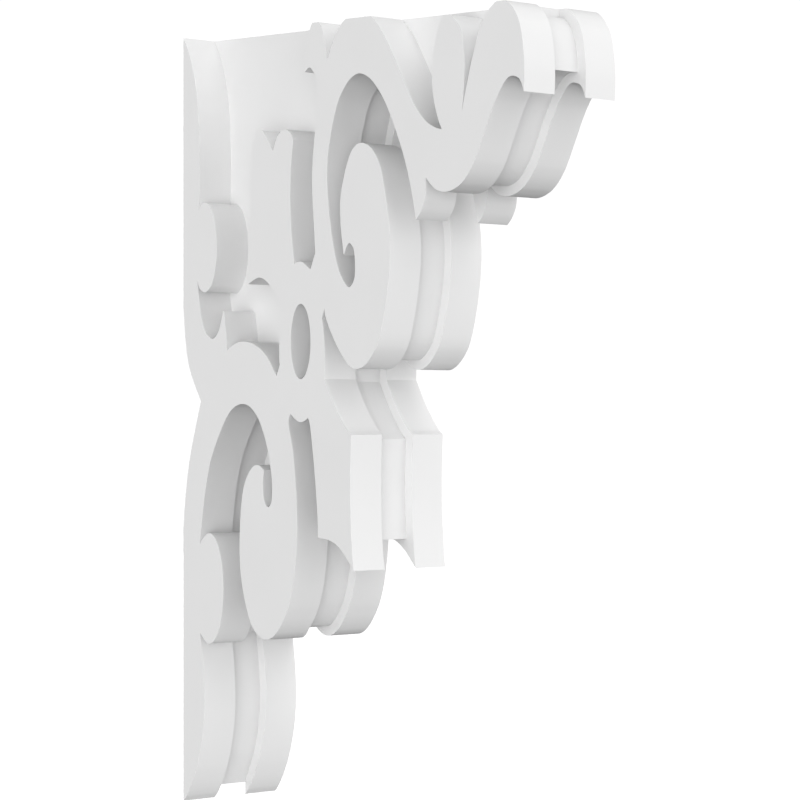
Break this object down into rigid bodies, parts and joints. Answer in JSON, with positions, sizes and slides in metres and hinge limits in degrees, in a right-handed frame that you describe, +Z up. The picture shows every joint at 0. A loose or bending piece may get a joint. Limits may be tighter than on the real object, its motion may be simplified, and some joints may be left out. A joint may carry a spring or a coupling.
{
  "type": "corbel",
  "caption": "Scrolled corbel: a recessed core board laminated between matching fretwork scroll plates, with a flat back for the wall and a flat top.",
  "frame": {"origin": "middle of the core's flat back, on the wall, halfway up the corbel's height", "axes": "+Z up, +Y into the wall, so the corbel projects towards -Y, and +X across its width to the right as seen from the front"},
  "size_m": [0.127, 0.4573, 0.762],
  "materials": {
    "plate_pvc": "matt white cellular PVC, smooth sheet faces and routed edges",
    "core_pvc": "matt white cellular PVC, routed edges"
  },
  "bodies": {
    "root": {"left_scroll_plate": "plate_pvc", "core_board": "core_pvc", "right_scroll_plate": "plate_pvc"}
  },
  "joints": []
}
